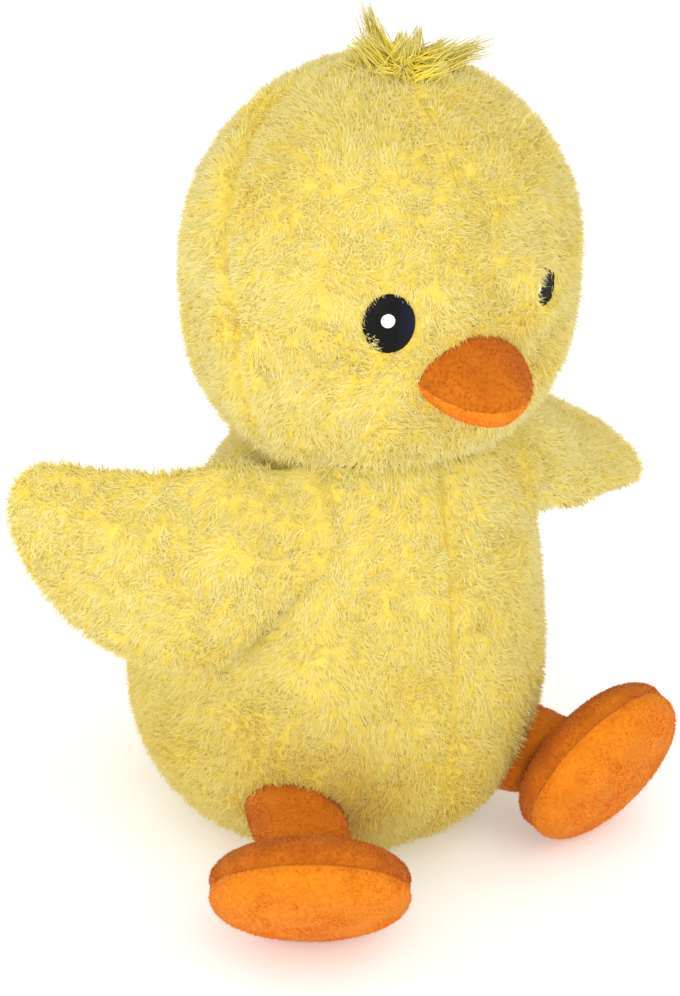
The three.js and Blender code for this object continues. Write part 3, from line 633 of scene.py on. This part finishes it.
for number, (name, sense) in enumerate((("upper", 1), ("lower", -1))):
    around = np.linspace(0.012, np.pi - 0.012, 40) * sense  # the two panels stop just short of each other
    reach = np.sin(np.linspace(0.0, np.pi / 2, 26))[:, None]
    skin = sewGrid(billAt(around, reach), np.array([0, -60, 131.0]))
    skin = puff(skin, billForm["push"], billForm["give"])
    nap = dict(shortNap, tone=billShadeTones[name], groundTone=billShadeTones[name])
    parts = [ground(backed(skin, billForm["thick"]), nap, 300 + 10 * number),
             growPile(skin, nap, billFlow, evenShare, 301 + 10 * number)]
    nodes = ["bill_" + name] + (["bill_stuffing"] if number == 0 else [])
    makePiece("bill_" + name + "_cloth", parts, orangeNap, "head", nodes)


# eyes
def headFace(x, z):  # the front of the head at a place seen from ahead
    up = (z - headForm["z"]) / headForm["height"]
    power = np.where(up < 0, headForm["jowl"], headForm["crown"])
    out = np.sqrt(np.maximum(0, 1 - np.abs(up) ** (2 / power))) ** power
    across = np.clip(x / np.maximum(headForm["half"] * out, 1e-6), -1, 1)
    return headForm["y"] - headForm["front"] * out * np.sqrt(1 - across ** 2)


def threadFinish(name, base, edge, gloss):  # the outer side of an oval shades into the second colour
    material, shader, split = finishOn(name)
    colour = colourAlong(material, split.outputs["X"], [(0.55, base), (1.0, edge)])
    material.node_tree.links.new(colour, shader.inputs["Base Color"])
    shader.inputs["Roughness"].default_value = 0.45
    shader.inputs["Specular IOR Level"].default_value = gloss
    return material


eyeThread = threadFinish("eye_thread", (5, 5, 5), (24, 28, 52), 0.15)
shineThread = threadFinish("shine_thread", (250, 250, 246), (222, 224, 226), 0.3)
stitchForm = dict(pitch=0.9, depth=0.07, slant=0.5, thick=0.5)
eyePad = dict(inset=0.3, base=0.3, crown=0.8)
shinePad = dict(half=1.42, height=1.58, up=1.0, base=0.9, crown=0.6, left=2.2, right=0.4)  # lit from one side


def stitchedOval(side, centre, half, height, pad):  # satin stitches over a padded oval
    s = stitchForm
    a = np.linspace(0, 2 * np.pi, 96, endpoint=False)
    r = np.sin(np.linspace(0.0, np.pi / 2, 40))[:, None]
    across, up = r * np.cos(a), r * np.sin(a)
    level = pad["base"] + pad["crown"] * np.sqrt(np.maximum(0, 1 - r ** 2)) + 0 * across
    slant = across * half * s["slant"] + up * height
    level = level + s["depth"] * np.abs(np.sin(slant * 2 * np.pi / s["pitch"])) * ease(1 - r, 0.0, 0.1)
    x, z = centre[0] + half * across, centre[1] + height * up
    foot = np.stack([x, headFace(x, z), z], -1)
    outward = unit((foot - headMiddle) / np.square([headForm["half"], headForm["front"], headForm["height"]]))
    points, tris = sewGrid(foot + outward * level[..., None], headMiddle, wrap=True)
    local = np.stack([(points[:, 0] - centre[0]) / half, (points[:, 2] - centre[1]) / height], 1)
    uv = np.clip(0.5 + 0.47 * local * np.array([side, 1]), 0.005, 0.995)
    solid = backed((points, tris), s["thick"])
    return solid[0], solid[1], normalsOf(*solid)[solid[1].ravel()], np.concatenate([uv, uv])


for name, side in sides.items():
    eyeX, eyeZ = side * eyePlace["x"], eyePlace["z"]
    half, height = eyePlace["half"] - eyePad["inset"], eyePlace["height"] - eyePad["inset"]
    oval = stitchedOval(-side, (eyeX, eyeZ), half, height, eyePad)
    makePiece("eye_" + name + "_stitches", [oval], eyeThread, "head", ["eye_" + name])
    shineAt = (eyeX - shinePad[name], eyeZ + shinePad["up"])
    spot = stitchedOval(-side, shineAt, shinePad["half"], shinePad["height"], shinePad)
    nodes = ["eye_" + name + "_highlight"]
    makePiece("eye_" + name + "_shine", [spot], shineThread, "head", nodes)
print("face made")

# hair tuft
longLocks = [(215, 4, 14, 16, 15), (262, 4, 26, 26, 12), (150, 4, 30, 25, 8), (70, 4, 65, 10, 16.5),
             (60, 4, 40, 20, 11), (330, 4, 40, 30, 9), (60, 0, 14, 20, 9)]  # turn, start, lean, bend, length
underLocks = [(100, 6, 45, 20, 8), (240, 6, 40, 15, 8), (300, 6, 45, 20, 7), (20, 6, 45, 20, 8),
              (180, 5, 30, 15, 8), (80, 9, 55, 15, 7), (250, 9, 50, 15, 6), (0, 0, 8, 15, 10),
              (120, 4, 20, 15, 9), (240, 3, 18, 15, 10)]  # short hair that fills the foot of the tuft
hairLook = dict(perLock=200, rings=6, radius=0.21, spread=1.9, sunk=2.0, leanSpread=5, bends=(0.6, 1.4),
                gather=0.85, softness=0.6, softFrom=6, toneSpread=0.25, seed=500)
strandCorners = np.radians([0, 120, 240])
crown = headMiddle + [tuftForm["x"], tuftForm["y"] - headForm["y"], headForm["height"] - hairLook["sunk"]]
maker = np.random.default_rng(hairLook["seed"])


def lockOfHair(lockTurn, lockStart, lockLean, lockBend, lockLength):
    h = hairLook
    count, rings = h["perLock"], h["rings"]
    way = np.radians(lockTurn)
    away, across = np.array([np.sin(way), -np.cos(way), 0]), np.array([np.cos(way), np.sin(way), 0])
    loose = maker.normal(size=(count, 2)) * h["spread"]
    lean = np.radians(lockLean + h["leanSpread"] * maker.normal(size=count))
    bend = np.radians(lockBend * maker.uniform(*h["bends"], count))
    length = lockLength * (0.4 + 0.65 * maker.random(count) ** 2)  # few hairs reach the point
    middle = np.broadcast_to(crown + away * lockStart, (count, 3))
    shape = []
    for step in range(rings):
        part = step / (rings - 1)
        tilt = lean + bend * part
        along = np.cos(tilt)[:, None] * np.array([0, 0, 1]) + np.sin(tilt)[:, None] * away
        over = np.cross(along, across)
        beside = across * loose[:, :1] + over * loose[:, 1:]
        strand = middle + beside * (1 - h["gather"] * part)  # gathers to a point
        thin = h["radius"] * (1 - h["gather"] * part ** 2)
        corners = [strand + thin * (math.cos(a) * across + math.sin(a) * over) for a in strandCorners]
        shape.append(np.stack(corners, 1))
        middle = middle + along * (length / (rings - 1))[:, None]
    shape = np.stack(shape, 1)
    points = shape.reshape(-1, 3)
    index = np.arange(len(points)).reshape(count, rings, 3)
    a, b = index[:, :-1], np.roll(index[:, :-1], -1, 2)
    c, d = index[:, 1:], np.roll(index[:, 1:], -1, 2)
    walls = [np.stack(t, -1).reshape(-1, 3) for t in ((a, b, d), (a, d, c))]
    tris = np.concatenate(walls + [index[:, -1]])
    normals = unit(points - np.repeat(shape.mean(2).reshape(-1, 3), 3, 0))
    mass = unit(points - crown + [0, 0, h["softFrom"]])
    normals = unit(h["softness"] * normals + mass)  # shades as one soft mass
    tone = np.clip(0.5 + h["toneSpread"] * maker.normal(size=count), 0.04, 0.96)
    u = tone[:, None, None] + np.array([-0.012, 0.0, 0.012]) + np.zeros((count, rings, 3))
    v = np.linspace(0.04, 0.97, rings)[None, :, None] + np.zeros((count, rings, 3))
    return points, tris, normals[tris.ravel()], np.stack([u, v], -1).reshape(-1, 2)


hairParts = [lockOfHair(*lock) for lock in longLocks + underLocks]
makePiece("hair_tuft_strands", hairParts, goldenHair, "head", ["hair_tuft"])
print("tuft made")

# wings
wingForm = dict(low=(46, 79), top=(55, 104.5), length=66.5, rootHalf=10.5, wideHalf=21.5, wideAt=0.35,
                rootThick=2.6, thick=6.5, bendBy=0.5, lip=0.065, swell=0.35, push=1.2, give=0.7)
wingRest = {"left": dict(sweep=41, raised=-16, twist=-54, sag=-11, tip=(2.2, 2.6), shoulder=0.0),
            "right": dict(sweep=38, raised=3, twist=0, sag=11.5, tip=(2.2, 2.2), shoulder=5.0)}


def wingFrame(name, side):
    w = wingForm

    def seam(turn, z):
        return bodyAt(np.radians(turn), bodyShareAt(z)) * [side, 1, 1]

    chord = unit(seam(*w["top"]) - seam(*w["low"]))
    sweep = math.radians(wingRest[name]["sweep"])
    span = np.array([side * math.cos(sweep), math.sin(sweep), 0])
    span = unit(span - chord * (span @ chord))
    root = seam((w["low"][0] + w["top"][0]) / 2, (w["low"][1] + w["top"][1]) / 2)
    return np.stack([span, chord, np.cross(span, chord)]), root


def wingSkin(name, side, sense, rows=38, columns=30):
    w, rest, swell = wingForm, wingRest[name], wingForm["swell"]
    share = np.sin(np.pi / 2 * np.linspace(-w["lip"], 1, rows))[:, None]
    around = np.linspace(0, np.pi, columns) * sense
    rise = ease(share, 0, w["wideAt"])
    fall = np.maximum(0, (share - w["wideAt"]) / (1 - w["wideAt"]))
    lip = np.minimum(share, 0) / share.min()  # past the seam the edge rounds off and sinks in the flank
    rounding = np.sqrt(np.maximum(0, 1 - lip ** 2))
    upperTip, lowerTip = rest["tip"]
    tip = upperTip + (lowerTip - upperTip) * (1 - np.cos(around)) / 2
    taper = np.maximum(0, 1 - fall ** tip) ** (1 / tip) * rounding
    half = (w["rootHalf"] + (w["wideHalf"] - w["rootHalf"]) * rise) * taper + swell
    thick = (w["rootThick"] + (w["thick"] - w["rootThick"]) * rise) * taper * (1 - lip) + swell
    upper = np.maximum(0, np.cos(around)) ** 1.5
    shoulder = rest["shoulder"] * upper * (1 - ease(share, 0, 0.5)) * rounding  # up to the neck
    sag = -rest["sag"] * np.sin(np.pi * np.maximum(share, 0))
    chord = half * np.cos(around) + shoulder
    length = share * (w["length"] + swell) + 0 * chord
    place = np.stack([length, sag + chord, thick * np.sin(around)], -1).reshape(-1, 3)
    bend = (ease(share, 0, w["bendBy"]) + 0 * chord).reshape(-1)
    place = turned(place, np.array([1.0, 0, 0]), math.radians(rest["twist"]) * bend)
    place = turned(place, np.array([0, 0, 1.0]), math.radians(rest["raised"]) * bend)
    axes, root = wingFrame(name, side)
    grid = (place @ axes + root).reshape(rows, columns, 3)
    inner = grid.mean(1).mean(0) - axes[2] * sense * 3
    return sewGrid(grid, inner), axes, root


for number, (name, side) in enumerate(sides.items()):
    for step, (face, sense) in enumerate((("front", side), ("back", -side))):
        skin, axes, root = wingSkin(name, side, sense)
        skin = puff(skin, wingForm["push"], wingForm["give"])

        def wingFlow(points, normals):  # brushed to the tip and down
            return 0.7 * axes[0] + np.array([0, 0, -0.6]) + 0.6 * swirl(points, 15, 90)

        def wingShare(points):  # shorter at the root seam
            return 0.7 + 0.3 * ease((points - root) @ axes[0], -5, 6)

        nodes = ["wing_" + name + "_" + face] + (["wing_" + name + "_stuffing"] if step == 0 else [])
        parts = furParts(skin, wingFlow, wingShare, 600 + 40 * number + 20 * step)
        pieceName = "wing_" + name + "_" + face + "_fur"
        makePiece(pieceName, parts, yellowPile, "wing_" + name, nodes)
print("wings covered")

# legs and feet
footForm = dict(length=20.5, half=22, thick=9.2, rim=0.8, lift=0.2, swell=0.3, push=2.0, give=1.0, cloth=1.2)
footSeam = dict(reach=0.12, draw=0.028, pucker=0.22, puckers=31, puckerReach=0.3)
# painted light and shade: top and sole are one orange cloth; the top is given a deeper tone for painted
# shade, the sole a paler one for painted light
footShadeTones = {"top": 0.2, "sole": 0.85}
legForm = dict(radius=9.4, swell=0.8, skin=0.3, hipTurn=43, hipHeight=19, ankleBack=7.5, inside=16, past=9,
               sunk=0.985, rimShare=0.86, lines=72, rows=22, push=1.0, give=0.6, cloth=1.2, tone=0.4)
legRest = {"left": dict(splay=16, toeLift=68, heelX=40.6, heelY=-47.1),
           "right": dict(splay=30, toeLift=49, heelX=36, heelY=-53.5)}


def footFrame(name, side):
    f, rest = footForm, legRest[name]
    splay, lift = math.radians(rest["splay"]), math.radians(rest["toeLift"])
    up = np.array([0, 0, 1.0])
    outward = np.array([side * math.sin(splay), -math.cos(splay), 0])
    toe = outward * math.cos(lift) + up * math.sin(lift)
    top = -outward * math.sin(lift) + up * math.cos(lift)
    power = 2 / (2 - f["rim"])
    heel, rim = f["length"] * math.sin(lift), f["thick"] * math.cos(lift)
    lowest = (heel ** power + rim ** power) ** (1 / power)
    heelBack = f["length"] * (heel / lowest) ** (power - 1) * math.cos(lift)
    rimAhead = f["thick"] * (rim / lowest) ** (power - 1) * math.sin(lift)
    heelPlace = np.array([side * rest["heelX"], rest["heelY"], lowest + f["lift"]])
    middle = heelPlace + outward * (heelBack - rimAhead)
    return np.stack([np.cross(toe, top), toe, top]), middle


def footSkin(axes, middle, sense, columns=110, rows=30):
    f, s, swell = footForm, footSeam, footForm["swell"]
    turn = np.linspace(0, 2 * np.pi, columns, endpoint=False)
    rise = np.linspace(0.0, 1, rows)[:, None] ** 1.2 * np.pi / 2
    out = np.abs(np.cos(rise)) ** f["rim"]
    up = np.abs(np.sin(rise)) ** f["rim"]
    seam = np.exp(-(rise / s["reach"]) ** 2)
    gathers = np.sin(turn * s["puckers"] + 2.2 * np.sin(turn * 5))  # uneven, as drawn by hand
    pucker = s["pucker"] * gathers * np.exp(-(rise / s["puckerReach"]) ** 2)
    wide = out * (1 - s["draw"] * seam)
    grid = np.stack([(f["half"] + swell) * wide * np.sin(turn), -(f["length"] + swell) * wide * np.cos(turn),
                     sense * ((f["thick"] + swell) * up + pucker * (1 - seam))], -1)
    return sewGrid(grid @ axes + middle, middle, wrap=True)


def legSkin(side, axes, middle):
    f, g = footForm, legForm
    hip = bodyAt(np.radians(g["hipTurn"]), bodyShareAt(g["hipHeight"])) * [side, 1, 1]
    ankleTop = f["thick"] * math.sqrt(1 - (g["ankleBack"] / f["length"]) ** 2)
    ankle = np.array([0, -g["ankleBack"], ankleTop]) @ axes + middle
    along = unit(ankle - hip)
    across = unit(np.cross(along, np.array([0, 0, 1.0])))
    over = np.cross(across, along)
    around = np.linspace(0, 2 * np.pi, g["lines"], endpoint=False)
    ringWay = np.cos(around)[:, None] * across + np.sin(around)[:, None] * over
    span = np.linalg.norm(ankle - hip)

    def legAt(place):  # place along the leg, from the hip, for each line around it
        swell = np.sin(np.pi * np.clip((place + g["inside"]) / (span + g["inside"] + g["past"]), 0, 1))
        radius = g["radius"] + g["swell"] * swell + g["skin"]
        return hip + along * place[..., None] + ringWay * radius[..., None]

    places = np.linspace(-g["inside"], span, 300)[:, None] + 0 * around
    inBody = bodyReach(legAt(places)) < g["sunk"]  # each line starts just under the body's cover
    start = np.array([places[np.nonzero(line)[0][-1], 0] if line.any() else -g["inside"] / 2
                      for line in inBody.T])
    ending = (legAt(np.full(g["lines"], span)) - middle) @ axes.T  # the seam, in the foot's own axes
    flat = np.hypot(ending[:, 0] / f["half"], ending[:, 1] / f["length"])
    ending[:, :2] *= np.minimum(1, g["rimShare"] / flat)[:, None]
    flat = np.minimum(flat, g["rimShare"])
    power = 2 / f["rim"]
    ending[:, 2] = f["thick"] * (1 - flat ** power) ** (1 / power) - g["skin"]
    ending = ending @ axes + middle
    share = np.linspace(0, 1, g["rows"])[:, None]
    grid = legAt(start * (1 - share) + span * share)
    grid = grid + (ending - grid[-1]) * ease(share, 0.25, 1.0)[..., None]
    grid[..., 2] = np.maximum(grid[..., 2], 0.3)
    return sewGrid(grid, (hip + ankle) / 2, wrap=True)


for number, (name, side) in enumerate(sides.items()):
    axes, middle = footFrame(name, side)

    def footFlow(points, normals):  # brushed to the heel
        return -0.5 * axes[1] + 0.7 * swirl(points, 9, 95)

    for step, (face, sense) in enumerate((("top", 1), ("sole", -1))):
        seed = 700 + 40 * number + 10 * step
        points, tris = puff(footSkin(axes, middle, sense), footForm["push"], footForm["give"])
        points[:, 2] = np.maximum(points[:, 2], floorGap)
        skin = points, tris
        nap = dict(shortNap, tone=footShadeTones[face], groundTone=footShadeTones[face])
        parts = [ground(backed(skin, footForm["cloth"]), nap, seed),
                 growPile(skin, nap, footFlow, evenShare, seed + 1)]
        nodes = ["foot_" + name + "_" + face] + (["foot_" + name + "_stuffing"] if step == 0 else [])
        pieceName = "foot_" + name + "_" + face + "_cloth"
        makePiece(pieceName, parts, orangeNap, "foot_" + name, nodes)

    seed = 780 + 10 * number
    skin = puff(legSkin(side, axes, middle), legForm["push"], legForm["give"])
    nap = dict(shortNap, tone=legForm["tone"], groundTone=legForm["tone"])
    parts = [ground(backed(skin, legForm["cloth"]), nap, seed),
             growPile(skin, nap, footFlow, evenShare, seed + 1)]
    nodes = ["leg_" + name + "_cover", "leg_" + name + "_stuffing"]
    makePiece("leg_" + name + "_cloth", parts, orangeNap, "leg_" + name, nodes)
print("legs and feet covered")

# floor, light and camera
floorLook = dict(half=6, shade=0.93, glow=0.18, seenGlow=0.06)  # places are in metres from here on
cameraPlace = dict(azimuth=math.radians(-30.07), elevation=math.radians(27.12),
                   target=Vector((0, -0.00443, 0.07832)), distance=0.75, lens=117.92, sensor=36)
keyLight = dict(right=0.4, back=0.75, up=0.6, size=0.8, power=2.0)
fillLight = dict(right=-0.3, back=1.0, up=-0.42, size=1.2, power=5.5)
skyLook = dict(colour=(1, 0.99, 0.97, 1), strength=0.95)

scene = bpy.context.scene
r = floorLook["half"]
floorMesh = bpy.data.meshes.new("floor")
floorMesh.from_pydata([(-r, -r, 0), (r, -r, 0), (r, r, 0), (-r, r, 0)], [], [(0, 1, 2, 3)])
floor = bpy.data.objects.new("floor", floorMesh)
scene.collection.objects.link(floor)
paper = bpy.data.materials.new("white_paper")
paper.use_nodes = True
nodes, links = paper.node_tree.nodes, paper.node_tree.links
paperShader = nodes["Principled BSDF"]
paperShader.inputs["Base Color"].default_value = (*[floorLook["shade"]] * 3, 1)
paperShader.inputs["Roughness"].default_value = 1.0
paperShader.inputs["Specular IOR Level"].default_value = 0.0
seen, glow = nodes.new("ShaderNodeLightPath"), nodes.new("ShaderNodeMath")
glow.operation = "MULTIPLY_ADD"
glow.inputs[1].default_value = floorLook["seenGlow"]
glow.inputs[2].default_value = floorLook["glow"]
links.new(seen.outputs["Is Camera Ray"], glow.inputs[0])
links.new(glow.outputs["Value"], paperShader.inputs["Emission Strength"])
paperShader.inputs["Emission Color"].default_value = (1, 1, 1, 1)
floorMesh.materials.append(paper)

azimuth, elevation, target = cameraPlace["azimuth"], cameraPlace["elevation"], cameraPlace["target"]
flatBack = Vector((math.sin(azimuth), -math.cos(azimuth), 0))
back = flatBack * math.cos(elevation) + Vector((0, 0, math.sin(elevation)))
right = Vector((math.cos(azimuth), math.sin(azimuth), 0))
upward = back.cross(right)
cameraData = bpy.data.cameras.new("camera")
cameraData.lens, cameraData.sensor_width = cameraPlace["lens"], cameraPlace["sensor"]
camera = bpy.data.objects.new("camera", cameraData)
facing = Matrix((right, upward, back)).transposed().to_4x4()
camera.matrix_world = Matrix.Translation(target + back * cameraPlace["distance"]) @ facing
scene.collection.objects.link(camera)
scene.camera = camera


def softLight(name, look):  # placed from the target, as the camera sees it, and turned to it
    data = bpy.data.lights.new(name, "AREA")
    data.size, data.energy = look["size"], look["power"]
    light = bpy.data.objects.new(name, data)
    away = right * look["right"] + back * look["back"] + Vector((0, 0, look["up"]))
    light.matrix_world = Matrix.Translation(target + away) @ away.to_track_quat("Z", "Y").to_matrix().to_4x4()
    scene.collection.objects.link(light)


softLight("key", keyLight)
softLight("fill", fillLight)
world = bpy.data.worlds.new("studio")
scene.world = world
world.use_nodes = True
sky = world.node_tree.nodes["Background"]
sky.inputs["Color"].default_value = skyLook["colour"]
sky.inputs["Strength"].default_value = skyLook["strength"]
scene.view_settings.view_transform = "Standard"

print("scene ready")
